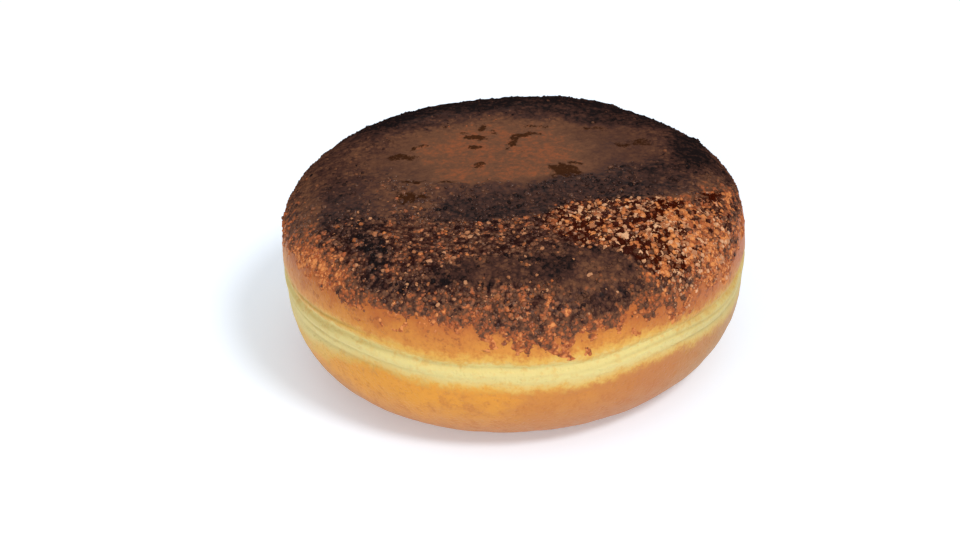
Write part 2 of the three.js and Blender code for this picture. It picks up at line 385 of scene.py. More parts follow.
# Painted one over the other, from the widest to the smallest.
SCORCHES = (
    scorch("back left", -32, 10, 9, 12, 10, 0.72, 0.5),
    POOL,
    # The pale middle and the front of the pool are lighter caramel, partly a painted sheen of the flat
    # top.
    scorch("pale middle of the pool", -3, 10, 18.5, 12.2, 0, 0.45, 0.5),
    scorch("browner right end of the pool", 23, 13, 8, 10, 0, 0.66, 0.6),
    scorch("front of the pool", -2, -1, 12, 5, -4, 0.45, 0.5),
    scorch("browner left end of the pool", -26, 7, 6, 11, -10, 0.63, 0.7),
    scorch("dark right end of the back", 20, 24, 11, 3.6, -18, 0.88, 0.5),
    scorch("reddish left of the pool", -22, -6, 8, 12, 0, 0.61, 0.5),
    GRITTY,
    scorch("browner left end of the grains", 13, -17.5, 9, 5.4, 0, 0.72, 0.7),
    FLANK,
    scorch("middle front", -8, -26, 18, 12, 0, 0.58, 0.5),
    scorch("under the arc", -2, -22, 13, 9, 6, 0.66, 0.7),
    *ARC,
    scorch("right rim", 38, 10, 6, 15, 4, 0.96, 0.5),
    GRITTY_RIM,
    scorch("browner left rim", -40, -3, 4.5, 12, 6, 0.56, 0.6),
    scorch("dark left shoulder", -31, -10, 4.5, 11, 4, 0.78, 0.6),
    scorch("dark left front", -25.3, -26, 3.4, 6.6, 12, 0.86, 0.6),
    scorch("toasted left front", -33.5, -26.5, 4, 6, 40, 0.34, 0.7),
    scorch("dark edge at the left front", -19.5, -36.5, 5, 1.5, -18, 0.8, 0.6),
    scorch("brown patch left of the middle", -18.5, -9, 4, 8, 0, 0.6, 0.5),
    scorch("brown front edge", -2, -40, 15, 3.6, 0, 0.48, 0.6),
    *DARK_FRONT,
    scorch("left end of the ribbon", -11.5, -34.2, 4, 2, 0, 0.82, 0.6),
    scorch("small pool at the front", 14.5, -35, 5.5, 2.6, 4, 0.57, 0.6),
    scorch("dark spot left of the small pool", 8, -34, 2.2, 3, 0, 0.88, 0.6),
    scorch("dark spot in front of the small pool", 16.5, -39.4, 6, 2.2, 6, 0.86, 0.6),
    scorch("toasted corner at the front right", 26, -34, 5, 4.5, 20, 0.4, 0.6),
    scorch("reddish tongue", 8, -44, 13, 5, 6, 0.48, 0.7),
    scorch("bare left edge", -42, -22, 7, 12, 18, 0.1, 0.6),
)

# Flecks of char on the pool, each with what a scorch has after its name.
FLECKS = tuple(
    scorch("fleck", *fleck)
    for fleck in (
        (-21, 9.5, 3.4, 1.6, 6, 1.0, 0.6),
        (-17.5, 12.5, 1.6, 0.8, 0, 0.8, 0.6),
        (-18.7, -8.4, 3.0, 2.2, -6, 1.0, 0.6),
        (-18.0, -2.4, 2.8, 1.1, 18, 0.95, 0.6),
        (-11.5, -4, 1.2, 1.4, 0, 0.9, 0.6),
        (-6.5, 2.4, 1.9, 0.9, 4, 0.9, 0.6),
        (-6.2, 20.5, 1.2, 1.8, 12, 0.95, 0.6),
        (-6.8, 16, 2.0, 1.7, 6, 1.0, 0.6),
        (-6.4, 11.6, 2.0, 1.2, -10, 0.9, 0.6),
        (-9.5, 18, 0.9, 0.8, 0, 0.7, 0.6),
        (-3.4, 19, 1.0, 0.9, 0, 0.7, 0.6),
        (2.6, 16.5, 3.2, 1.1, 6, 0.95, 0.6),
        (0.2, 12.5, 1.1, 3.4, 0, 0.9, 0.6),
        (3.0, 8.6, 1.0, 1.2, 0, 0.6, 0.6),
        (5, 20.8, 3.0, 0.8, 0, 0.75, 0.6),
        (12.5, 3.6, 1.5, 0.9, 0, 0.8, 0.6),
        (10.0, 0.2, 2.8, 3.4, 0, 1.0, 0.7),
        (25, 12.5, 2.2, 2.0, 10, 0.9, 0.6),
        (21.5, 11, 1.6, 0.9, 0, 0.75, 0.6),
        (17, 19.5, 2.6, 1.0, -6, 0.75, 0.6),
        (-13, 21.5, 1.6, 0.9, -10, 0.75, 0.6),
        (-24, 16, 1.2, 0.8, -10, 0.6, 0.6),
    )
)


def reach_of(patch, x, y):
    """How far each place is from a scorch's middle, where 1 is on its edge."""
    across = (x - patch.x) * math.cos(patch.turn) + (y - patch.y) * math.sin(patch.turn)
    deep = -(x - patch.x) * math.sin(patch.turn) + (y - patch.y) * math.cos(patch.turn)
    return np.hypot(across / patch.half_width, deep / patch.half_depth)


class Burn:
    """How the sugar burnt at each point, as levels from 0 to 1. The scorches' edges wander."""

    def __init__(self, points, edge_share):
        flat = points * np.array([1, 1, 0])
        bend = 2.0 * MM
        rag = 1.1 * MM
        self.x = points[:, 0] + bend * soft_noise(flat, 8 * MM, 3.1)
        self.x += rag * soft_noise(flat, 1.8 * MM, 9.7)
        self.y = points[:, 1] + bend * soft_noise(flat, 8 * MM, 5.9)
        self.y += rag * soft_noise(flat, 1.8 * MM, 1.3)
        self.edge_share = edge_share + 0.04 * soft_noise(points, 5 * MM, 2.2)
        self.edge_share += 0.05 * soft_noise(points, 1.7 * MM)
        self.pool_reach = reach_of(POOL, self.x, self.y)
        self.pool = 1 - smooth(self.pool_reach, 0.8, 1.02)
        self.back = smooth(points[:, 1], -4 * MM, 14 * MM)
        self.fleck = self.painted(FLECKS, np.zeros(len(points)))
        self.melted = np.maximum(self.within(ARC, 0.8, 1.15), self.within(DARK_FRONT, 0.5, 1.35))
        self.grit = self.grit_level()
        level = self.burn_level()
        self.level = level + self.clumps(points)

        # The grittiest sugar is only toasted in places, and is nowhere quite char.
        self.toasted = (1 - smooth(level, 0.62, 0.86)) * smooth(self.grit, 0.4, 0.85)
        self.darkest = lerp(1.1, 0.76, smooth(self.grit, 0.66, 0.95))

        # Rough char on the back rim and in the dark front doesn't shine.
        back_rim = smooth(self.edge_share, 0.4, 0.66) * smooth(points[:, 1], -14 * MM, 6 * MM)
        self.matt = np.maximum(back_rim, 0.85 * self.within(DARK_FRONT, 0.8, 1.3))

        # Pale grains lie closer together in clusters.
        self.clustered = smooth(soft_noise(flat, 5 * MM, 4.7), -0.3, 0.35)

    def painted(self, patches, level):
        """The level with each patch's own burn laid over it, one after the other."""
        for patch in patches:
            reach = reach_of(patch, self.x, self.y)
            weight = 1 - smooth(reach, 1 - patch.softness, 1 + patch.softness)
            level = lerp(level, patch.burn, weight)
        return level

    def within(self, patches, inside, outside):
        """1 well inside any of the patches and 0 outside them all."""
        reach = np.min([reach_of(patch, self.x, self.y) for patch in patches], axis=0)
        return 1 - smooth(reach, inside, outside)

    def burn_level(self):
        """From 0, just toasted, to 1, charred."""
        rim = smooth(self.edge_share, 0.46, 0.66) * self.back
        level = self.painted(SCORCHES, lerp(PLAIN_BURN, 0.98, rim))
        front_edge = smooth(self.edge_share, 0.84, 0.97) * (1 - self.back)
        level = lerp(level, np.minimum(level, 0.37), front_edge)
        back_edge = smooth(self.edge_share, 0.76, 0.95) * self.back
        level = lerp(level, np.minimum(level, 0.45), back_edge)
        last_edge = smooth(self.edge_share, 0.94, 1.03)
        return level * (1 - 0.8 * last_edge)

    def clumps(self, points):
        """Grains burnt in small clumps, so the level is uneven where the sugar kept its grain."""
        uneven = soft_noise(points, 1.5 * MM, 6.6) + 0.8 * soft_noise(points, 0.8 * MM, 2.9)
        return 1.2 * self.grit ** 2 * (1 - smooth(self.edge_share, 0.9, 1.0)) * uneven

    def grit_level(self):
        """How much of the sugar kept its grain."""
        grit = lerp(0.22, 0.08, self.pool)
        front = smooth(-self.y, 9 * MM, 20 * MM)
        grit = lerp(grit, 0.56, front)
        grit = lerp(grit, 0.85, self.within([GRITTY_RIM], 0.7, 1.2))
        grit = lerp(grit, 1, self.within([GRITTY], 0.7, 1.3))
        grit = lerp(grit, 0.7, self.within([FLANK], 0.5, 1.1))
        grit = lerp(grit, 0.26, self.melted)
        return lerp(grit, 0.46, smooth(self.edge_share, 0.76, 0.95) * (1 - 0.5 * self.melted))


HALVINGS = 20  # rounds of the search for the station at a height
FLECK_RISE = 0.12 * MM  # how far the flecks of char stand up
EDGE_TUCK = 0.25 * MM  # how far the sugar dives into the dough past its edge


class SugarForm:
    """The surface of the burnt sugar, by an angle round it and a share of the way to its edge."""

    def __init__(self, form, crust):
        self.form = form
        self.crust = crust

    def edge_height(self, angle):
        """The height that the sugar comes down to."""
        from_front = turn_between(FRONT, angle)
        tongue = bell(from_front - self.crust.tongue_turn, self.crust.tongue_width)
        left_is_higher = bell(from_front + math.radians(38), math.radians(30))
        right_is_lower = bell(from_front - math.radians(44), math.radians(24))
        rags = (
            0.55 * np.cos(7 * angle + 0.4)
            + 0.4 * np.cos(13 * angle + 2.1)
            + 0.3 * np.cos(22 * angle + 5.2)
        )
        uneven = MM * (1.3 * left_is_higher - 2.3 * right_is_lower + rags)
        return self.crust.edge_height - self.crust.tongue_drop * tongue + uneven

    def station(self, angle, edge_share):
        """The dough's station under the sugar."""
        low = np.full_like(angle, SHOULDER_START)
        high = low + 1
        wanted = self.edge_height(angle)
        for _ in range(HALVINGS):
            middle = (low + high) / 2
            under = self.form.side(middle)[1] < wanted
            low = np.where(under, middle, low)
            high = np.where(under, high, middle)
        return lerp(TOP_STATION, (low + high) / 2, edge_share)

    def thickness(self, points, burn):
        """From the dough's skin to the sugar's surface."""
        crust = self.crust
        thinning = smooth(burn.edge_share, 0.62, 0.97)
        ridge = bell(burn.pool_reach - 1, 0.16) * smooth(POOL.y - burn.y, 0, 12 * MM)
        lumps = soft_noise(points, 2.6 * MM, 4.4) + 0.6 * soft_noise(points, 1.4 * MM, 7.7)
        cells = 0.5 - cell_distance(points, 0.95 * MM, 1.7)
        relief = crust.lump * lumps * (1 - 0.85 * burn.pool) + crust.grain * 2 * cells * burn.grit
        shape = crust.ridge * ridge - crust.sink * burn.pool + FLECK_RISE * burn.fleck
        bulk = lerp(crust.lift + crust.thickness, crust.edge_thickness, thinning)
        feather = smooth(burn.edge_share, 0.9, 1.05)
        return lerp(bulk + shape * (1 - thinning) + relief, -EDGE_TUCK + 2.2 * relief, feather)

    def surface(self, angle, edge_share):
        """The sugar's points, the directions out of it, and how it burnt there."""
        station = self.station(angle, edge_share)
        skin = self.form.point(angle, station)
        out = self.form.normal(angle, station)
        burn = Burn(skin, edge_share)
        return skin + out * self.thickness(skin, burn)[:, None], out, burn


# ---------------------------------------------------------------- meshes


def ring_faces(low, high):
    """Triangles between two closed rings of vertex numbers, whatever their counts."""
    faces = []
    i = j = 0
    while i < len(low) or j < len(high):
        low_next = low[(i + 1) % len(low)]
        high_next = high[(j + 1) % len(high)]
        low_is_behind = (i + 1) * len(high) <= (j + 1) * len(low)
        if j == len(high) or (i < len(low) and low_is_behind):
            faces.append((low[i % len(low)], low_next, high[j % len(high)]))
            i += 1
        else:
            faces.append((low[i % len(low)], high_next, high[j % len(high)]))
            j += 1
    return [face for face in faces if len(set(face)) == 3]


class Rings:
    """Rings of places up a closed turned form, each with its own number of points."""

    def __init__(self):
        self.angles = []
        self.heights = []
        self.sides = []
        self.faces = []
        self.last = None

    def add(self, count, height, side=0):
        """Adds a ring of so many points at a station or a share, and joins it to the one before."""
        start = sum(len(ring) for ring in self.angles)
        self.angles.append(np.arange(count) * 2 * math.pi / count)
        self.heights.append(np.full(count, float(height)))
        self.sides.append(np.full(count, side))
        ring = list(range(start, start + count))
        if self.last:
            self.faces += ring_faces(self.last, ring)
        self.last = ring

    def places(self):
        """All angles, all heights and all sides, one for each vertex."""
        return np.concatenate(self.angles), np.concatenate(self.heights), np.concatenate(self.sides)


def mesh_piece(name, points, faces, material, replaced=None):
    """A smooth mesh that rides on the frame and may replace a node."""
    mesh = bpy.data.meshes.new(name)
    mesh.from_pydata(points.tolist(), [], faces)
    mesh.shade_smooth()
    mesh.materials.append(material)
    piece = bpy.data.objects.new(name, mesh)
    bpy.context.scene.collection.objects.link(piece)
    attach(piece, "root")
    if replaced:
        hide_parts(replaced)
    return piece


def paint(piece, repeats=1, **layers):
    """Keeps numbers for the material to read, each given to one vertex or to so many in a row."""
    for name, values in layers.items():
        layer = piece.data.attributes.new(name, "FLOAT", "POINT")
        layer.data.foreach_set("value", np.repeat(np.asarray(values, np.float32), repeats))


# ---------------------------------------------------------------- material nodes


class Wire:
    """An output of a material's nodes. Arithmetic on wires adds Math nodes."""

    def __init__(self, looks, socket):
        self.looks = looks
        self.socket = socket

    def maths(self, operation, first, second):
        return self.looks.node("ShaderNodeMath", {"operation": operation}, {0: first, 1: second})

    def __add__(self, other):
        return self.maths("ADD", self, other)

    def __radd__(self, other):
        return self.maths("ADD", other, self)

    def __sub__(self, other):
        return self.maths("SUBTRACT", self, other)

    def __rsub__(self, other):
        return self.maths("SUBTRACT", other, self)

    def __mul__(self, other):
        return self.maths("MULTIPLY", self, other)

    def __rmul__(self, other):
        return self.maths("MULTIPLY", other, self)


class Looks:
    """A material whose nodes are added by name, settings and socket values."""

    def __init__(self, name):
        self.material = bpy.data.materials.new(name)
        self.material.use_nodes = True
        self.tree = self.material.node_tree
        self.tree.nodes.clear()
        self.place = self.node("ShaderNodeTexCoord", {}, {}, "Object")

    def node(self, kind, settings, values, output=0):
        """Adds a node and returns one of its outputs as a wire, or the node if it has none."""
        made = self.tree.nodes.new(kind)
        for name, value in settings.items():
            if name == "stops":
                self.set_stops(made.color_ramp, value)
            else:
                setattr(made, name, value)
        for name, value in values.items():
            if isinstance(value, Wire):
                self.tree.links.new(value.socket, made.inputs[name])
            else:
                made.inputs[name].default_value = value
        return Wire(self, made.outputs[output]) if made.outputs else made

    @staticmethod
    def set_stops(ramp, stops):
        """Gives a colour ramp its stops, each a position and a colour."""
        while len(ramp.elements) < len(stops):
            ramp.elements.new(0.5)
        for element, (position, shade) in zip(ramp.elements, stops):
            element.position = position
            element.color = (*shade, 1)

    def painted(self, name):
        """A number kept for each vertex."""
        return self.node("ShaderNodeAttribute", {"attribute_name": name}, {}, "Fac")

    def noise(self, size, detail=2.0, roughness=0.5):
        """Noise from 0 to 1, with features of about that size in metres."""
        values = {"Vector": self.place, "Scale": 1 / size, "Detail": detail, "Roughness": roughness}
        return self.node("ShaderNodeTexNoise", {}, values, "Fac")

    def warped(self, size, reach):
        """The place on the surface, moved about a little so that cells lose their straight edges."""
        values = {"Vector": self.place, "Scale": 1 / size, "Detail": 1.0}
        stray = self.node("ShaderNodeTexNoise", {}, values, "Color")
        values = {0: stray, 1: (reach, reach, reach), 2: self.place}
        return self.node("ShaderNodeVectorMath", {"operation": "MULTIPLY_ADD"}, values, "Vector")

    def cell(self, size, place, output):
        """One output of a pattern of cells of about that size."""
        return self.node("ShaderNodeTexVoronoi", {}, {"Vector": place, "Scale": 1 / size}, output)

    def cells(self, size, place=None):
        """A random number from 0 to 1 for each cell of about that size."""
        chance = self.cell(size, place or self.place, "Color")
        return self.node("ShaderNodeSeparateColor", {}, {"Color": chance}, "Red")

    def domes(self, size, place=None):
        """The distance from the middle of each cell of about that size, in cells."""
        return self.cell(size, place or self.place, "Distance")

    def between(self, value, low, high):
        """0 at low, 1 at high and an easy curve between them."""
        values = {"Value": value, "From Min": low, "From Max": high}
        return self.node("ShaderNodeMapRange", {"interpolation_type": "SMOOTHSTEP"}, values)

    def blend(self, share, first, second):
        """A colour that is a share of the way from the first to the second."""
        first, second = (c if isinstance(c, Wire) else (*c, 1) for c in (first, second))
        return self.node("ShaderNodeMix", {"data_type": "RGBA"}, {0: share, 6: first, 7: second}, 2)

    def ramp(self, value, stops):
        """A colour read from a ramp."""
        return self.node("ShaderNodeValToRGB", {"stops": stops}, {0: value}, "Color")

    def bump(self, height, distance, strength):
        """A normal that follows a height from 0 to 1, for a relief of that many metres."""
        values = {"Height": height, "Distance": distance, "Strength": strength}
        return self.node("ShaderNodeBump", {}, values, "Normal")

    def finish(self, sockets):
        """Gives the surface its shader."""
        shader = self.node("ShaderNodeBsdfPrincipled", {}, sockets, "BSDF")
        self.node("ShaderNodeOutputMaterial", {}, {"Surface": shader})
        return self.material


def dough_material(dough):
    """Fried yeast dough: golden under the ring, amber to tanned over it, cream in the ring."""
    looks = Looks("fried_dough")
    ring = looks.painted("ring")
    height = looks.painted("height")
    right = looks.painted("right")
    lines = looks.painted("lines")
    blotch = looks.noise(9 * MM, 3)
    mottle = looks.noise(2.4 * MM, 3, 0.6)
    fine = looks.noise(0.7 * MM, 3, 0.6)
    specks = looks.noise(1.1 * MM, 2, 0.7)
    left_end = looks.between(right + 0.3 * (blotch - 0.5), -0.55, -0.95)
    right_end = looks.between(right + 0.3 * (blotch - 0.5), 0.5, 0.95)

    # Under the ring. Towards the right it turns darker and redder, as painted shade of that side.
    russet_and_side_shade = looks.between(right + 0.9 * (blotch - 0.5), -0.35, 0.6)
    lower = looks.blend(russet_and_side_shade, dough.golden, dough.russet_and_side_shade)
    clouds = looks.between(looks.noise(14 * MM, 2) + 0.5 * (mottle - 0.5), 0.42, 0.68)
    lower = looks.blend(clouds * 0.4, lower, dough.russet_and_side_shade)
    low = 1 - looks.between(height + 7 * MM * (blotch - 0.5), 3 * MM, 13 * MM)
    lower = looks.blend(low * 0.85, lower, dough.underside)

    # Over the ring: the higher, the more toasted, and towards the right the toasting starts lower, as
    # painted shade of that side.
    side_shade_lift = 2.4 * MM * russet_and_side_shade + 2.6 * MM * right_end
    toasting = height + 4 * MM * (blotch - 0.5) + 4 * MM * (mottle - 0.5) + 2 * MM * (fine - 0.5)
    toasting = toasting + side_shade_lift
    upper = looks.blend(looks.between(toasting, 23.5 * MM, 29.5 * MM), dough.amber, dough.tanned)
    scattered_specks = looks.between(specks + 0.7 * (mottle - 0.5), 0.56, 0.68)
    near_sugar = looks.between(toasting, 24 * MM, 28 * MM)
    upper = looks.blend(scattered_specks * near_sugar * 0.6, upper, dough.speck)
    skin = looks.blend(looks.between(ring, -0.5, 0.9), lower, upper)
    freckles = looks.between(mottle + 0.8 * (fine - 0.5), 0.48, 0.74)
    skin = looks.blend(freckles * 0.36, skin, dough.tanned)

    # The ring: its own range is from -1 to 1, and straw lies on both sides of the pale.
    ragged = 0.8 * (blotch - 0.5) + 1.2 * (mottle - 0.5) + 0.9 * (fine - 0.5)
    # Towards the right the pale is cut back from the top, as painted shade of that side.
    wandering = ring + ragged + 0.5 * right_end
    widened = wandering + 1.3 * left_end
    straw_share = looks.between(widened + 0.9 * left_end, -1.9, -1.1)
    straw_share = straw_share * (1 - looks.between(wandering, 0.75, 1.5))
    pale_share = looks.between(widened, -1.5, -0.5) * (1 - looks.between(wandering, 0.1, 0.9))
    base = looks.blend(straw_share * 0.75, skin, dough.straw)
    clean_share = 0.95 - 0.25 * freckles - 0.1 * left_end
    base = looks.blend(pale_share * clean_share, base, dough.pale)
    # Painted shade: the left and right ends and the fine lines along the ring are blended towards olive.
    side_shade = (0.08 * left_end + 0.38 * right_end) * (1 - looks.between(wandering, 0.8, 1.8))
    base = looks.blend(lines * 0.34 + side_shade, base, dough.olive_shade)

    pits = looks.between(looks.domes(0.8 * MM, looks.warped(0.9 * MM, 0.5 * MM)), 0.1, 0.5)
    relief = 0.35 * fine + 0.35 * pits + 0.3 * looks.noise(0.3 * MM, 2)
    return looks.finish(
        {
            "Base Color": base,
            "Roughness": 0.46 + 0.2 * (mottle - 0.5) + 0.12 * pale_share,
            "Normal": looks.bump(relief, 0.26 * MM, 0.8),
            "Specular IOR Level": 0.22,
            "Subsurface Weight": 0.1,
            "Subsurface Radius": (1.0, 0.55, 0.25),
            "Subsurface Scale": 1.4 * MM,
        }
    )


def crust_material(name, crust, gloss, glaze, gloss_roughness):
    """Burnt sugar, from toasted grains to char, with a gloss and a further glaze where it melted."""
    looks = Looks(name)
    burn = looks.painted("burn")
    grit = looks.painted("grit")
    fleck = looks.painted("fleck")
    matt = looks.painted("matt")
    toasted = looks.painted("toasted")
    blotch = looks.noise(3.2 * MM, 3, 0.6)
    mottle = looks.noise(1.1 * MM, 3, 0.6)
    fine = looks.noise(0.4 * MM, 3, 0.6)
    stray = looks.warped(0.5 * MM, 0.45 * MM)
    grains = looks.cells(0.75 * MM, stray)
    # Painted shade: the gaps between the grains are darker, as if shaded.
    shaded_gaps = looks.between(looks.domes(0.75 * MM, stray), 0.3, 0.75)

    speckle = 0.75 * (grains - 0.5) + 0.8 * (mottle - 0.5) + 0.35 * shaded_gaps - 0.05
    level = burn + grit * speckle + (0.26 + 0.21 * grit) * (blotch - 0.5)
    level = level + 0.2 * (mottle - 0.5) + 0.12 * (fine - 0.5)
    shade = looks.ramp(
        level,
        (
            (0.0, crust.toasted),
            (0.26, crust.brown),
            (0.5, crust.caramel),
            (0.75, crust.dark),
            (1.0, crust.char),
        ),
    )
    singed = looks.between(level, 0.42, 0.72) * toasted
    shade = looks.blend(singed * 0.95, shade, crust.singed)
    crystals = looks.between(1 - grains + 0.5 * (fine - 0.5), 0.6, 0.85)
    crystals = crystals * looks.between(grit, 0.4, 0.9) * (1 - shaded_gaps)
    clear = 0.42 - 0.3 * looks.between(level, 0.45, 0.8)
    shade = looks.blend(crystals * clear, shade, crust.crystal)
    charred = looks.between(fleck + 1.4 * (mottle - 0.5) + 1.2 * (fine - 0.5), 0.5, 0.9)
    base = looks.blend(charred * 0.88, shade, crust.scab)

    relief = 0.35 * fine + 0.65 * (1 - shaded_gaps) * grit + 0.3 * mottle + 0.4 * charred
    shine = (1 - 0.75 * looks.between(level, 0.6, 1.0)) * (0.7 - 0.3 * grit)
    melted = looks.between(level, 0.62, 0.82) * (1 - looks.between(grit, 0.25, 0.5))
    coat = gloss * shine * (1 - 0.8 * toasted) + glaze * melted
    return looks.finish(
        {
            "Base Color": base,
            "Roughness": 0.45 + 0.2 * grit + 0.1 * (fine - 0.5),
            "Normal": looks.bump(relief, 0.2 * MM, 0.8),
            "Specular IOR Level": 0.0,
            "Coat Weight": coat * (1 - matt) * (1 - charred),
            "Coat Roughness": gloss_roughness,
        }
    )


def pale_material(grains):
    """Crystals of sugar that stayed pale, each a little lighter or darker than the next."""
    looks = Looks("pale_sugar")
    tint = looks.painted("tint")
    frosting = looks.noise(0.3 * MM, 2)
    base = looks.blend(tint + 0.2 * (frosting - 0.5), grains.tan, grains.pale)
    return looks.finish(
        {
            "Base Color": base,
            "Roughness": 0.3 + 0.3 * frosting,
            "Specular IOR Level": 0.2,
            "Subsurface Weight": 0.1,
            "Subsurface Radius": (1.0, 0.7, 0.45),
            "Subsurface Scale": 0.5 * MM,
        }
    )


# ---------------------------------------------------------------- the dough


# Fine lines along the ring: heights over its middle, how far, how often and from where they
# wander, where they are deepest and how far round they run.
RingLine = namedtuple("RingLine", "height wander waves start middle reach")

RING_LINES = tuple(
    RingLine(
        height * MM, wander * MM, waves, start, FRONT + math.radians(middle), math.radians(reach)
    )
    for height, wander, waves, start, middle, reach in (
        (2.9, 0.3, 3, 0.4, -54, 26),
        (-1.7, 0.35, 4, 1.0, -58, 34),
        (-4.2, 0.4, 3, 2.2, -52, 24),
        (-0.6, 0.3, 5, 0.2, 44, 30),
        (-3.1, 0.4, 3, 4.0, 58, 22),
        (2.4, 0.35, 4, 1.2, 150, 36),
        (-2.2, 0.4, 3, 0.7, 195, 34),
        (-1.4, 0.3, 4, 3.1, 100, 24),
    )
)


def ring_lines(above_ring, angle):
    """1 in the middle of each fine line, where the soft ring was stretched or pressed."""
    depth = np.zeros_like(angle)
    for line in RING_LINES:
        height = line.height + line.wander * np.sin(line.waves * angle + line.start)
        strength = bell(turn_between(line.middle, angle), line.reach)
        depth = np.maximum(depth, bell(above_ring - height, 0.32 * MM) * strength)
    return depth


def dough_relief(dough, points, station, lines):
    """What frying does to the skin: blisters, pores, and fine wrinkles along the ring."""
    ring_share = station - RING_START
    in_ring = smooth(ring_share, -0.3, 0.15) * (1 - smooth(ring_share, 0.9, 1.08))
    swellings = soft_noise(points, 4.2 * MM, 6.1) + 0.5 * soft_noise(points, 1.9 * MM, 2.8)
    open_pores = 1 - smooth(cell_distance(points, 1.5 * MM, 8.3), 0.05, 0.4)
    pore_places = smooth(soft_noise(points, 5 * MM, 12.2), -0.1, 0.4)
    stretched = points * np.array([1, 1, 5.5])
    wrinkles = soft_noise(stretched, 5.2 * MM, 3.3) + 0.5 * soft_noise(stretched, 2.4 * MM, 5.5)
    relief = dough.blister * swellings - dough.pore * open_pores * pore_places
    rising = smooth(station, 1.02, 1.2)
    creases = dough.wrinkle * (wrinkles * in_ring - 2.4 * lines)
    return (relief * (1 - 0.5 * in_ring) + creases) * rising


def dough_rings():
    """Fine rings on the side that shows, coarse ones under the doughnut and under its crust."""
    fine_from, fine_to, fine_count = 1.03, 3.5, 122
    around = 720
    rings = Rings()
    rings.add(1, 0)
    for station, count in ((0.4, 45), (0.75, 90), (0.93, 180), (1.0, 360)):
        rings.add(count, station)
    for station in np.linspace(fine_from, fine_to, fine_count):
        rings.add(around, station)
    for station, count in ((3.58, 360), (3.7, 180), (4.0, 90), (4.5, 45)):
        rings.add(count, station)
    rings.add(1, TOP_STATION)
    return rings


class DOUGHNUT_OT_dough(bpy.types.Operator):
    """Add the fried dough, with its pale ring"""

    bl_idname = "doughnut.dough"
    bl_label = "Fried Dough"

    def execute(self, context):
        dough = context.scene.doughnut_dough
        form = Form(dough)
        rings = dough_rings()
        angle, station, _ = rings.places()
        skin = form.point(angle, station)
        above_ring = form.side(station)[1] - dough.ring_middle
        lines = ring_lines(above_ring, angle)
        relief = dough_relief(dough, skin, station, lines)
        points = skin + form.normal(angle, station) * relief[:, None]
        material = dough_material(dough)
        piece = mesh_piece("dough_body", points, rings.faces, material, "dough")
        ring = above_ring / (dough.ring_width / 2)
        paint(piece, ring=ring, lines=lines, height=points[:, 2], right=points[:, 0] / form.radius)
        return {"FINISHED"}


# ---------------------------------------------------------------- the sugar


OUTSIDE = 0
INSIDE = 1
INSIDE_DEPTH = 0.6 * MM  # how far the crust's inside lies under the dough's skin


def crust_rings():
    """Even rings from the crown to past the sugar's edge, and a plain inside."""
    rings = Rings()
    last_share = 1.07
    count = 138
    points_more = 8
    rings.add(1, 0, OUTSIDE)
    for ring in range(1, count + 1):
        rings.add(points_more * ring, last_share * ring / count, OUTSIDE)
    for share, points in ((1.04, 552), (0.98, 276), (0.85, 138), (0.6, 69), (0.3, 30)):
        rings.add(points, share, INSIDE)
    rings.add(1, 0, INSIDE)
    return rings


class DOUGHNUT_OT_crust(bpy.types.Operator):
    """Add the crust of burnt sugar"""

    bl_idname = "doughnut.crust"
    bl_label = "Burnt Sugar Crust"

    def execute(self, context):
        crust = context.scene.doughnut_crust
        form = Form(context.scene.doughnut_dough)
        sugar = SugarForm(form, crust)
        rings = crust_rings()
        angle, share, side = rings.places()
        points, out, burn = sugar.surface(angle, share)
        inside = side == INSIDE
        station = sugar.station(angle[inside], share[inside])
        points[inside] = form.point(angle[inside], station) - out[inside] * INSIDE_DEPTH
        material = crust_material("burnt_sugar", crust, gloss=0.16, glaze=0.17, gloss_roughness=0.28)
        faces = [tuple(reversed(face)) for face in rings.faces]
        piece = mesh_piece("sugar_crust_top", points, faces, material, "sugar_crust")
        burnt = np.minimum(burn.level, burn.darkest)
        paint(piece, burn=burnt, grit=burn.grit, fleck=burn.fleck, matt=burn.matt, toasted=burn.toasted)
        return {"FINISHED"}


def crystal_template():
    """A cube with its corners cut off: the points and the triangles of one crystal."""
    ends = (-0.5, 0.5)
    points = [(a, b, 0) for a in ends for b in ends]
    points += [(a, 0, b) for a in ends for b in ends]
    points += [(0, a, b) for a in ends for b in ends]
    shape = bmesh.new()
    corners = [shape.verts.new(point) for point in points]
    bmesh.ops.convex_hull(shape, input=corners)
    bmesh.ops.triangulate(shape, faces=shape.faces[:])
    shape.verts.index_update()
    faces = [[corner.index for corner in face.verts] for face in shape.faces]
    points = [corner.co[:] for corner in shape.verts]
    shape.free()
    return np.array(points), np.array(faces)


def turned_at_random(draws, out, tilt):
    """A turning matrix for each grain: spun round the way out of the crust, and tilted a little."""
    spin = draws.uniform(0, 2 * math.pi, len(out))
    leaning = out + tilt * draws.normal(size=out.shape)
    upright = leaning / np.linalg.norm(leaning, axis=1, keepdims=True)
    side = np.cross(upright, [0.0, 1.0, 0.0])
    side /= np.linalg.norm(side, axis=1, keepdims=True)
    other = np.cross(upright, side)
    first = np.cos(spin)[:, None] * side + np.sin(spin)[:, None] * other
    second = np.cross(upright, first)
    return np.stack([first, second, upright], axis=2)


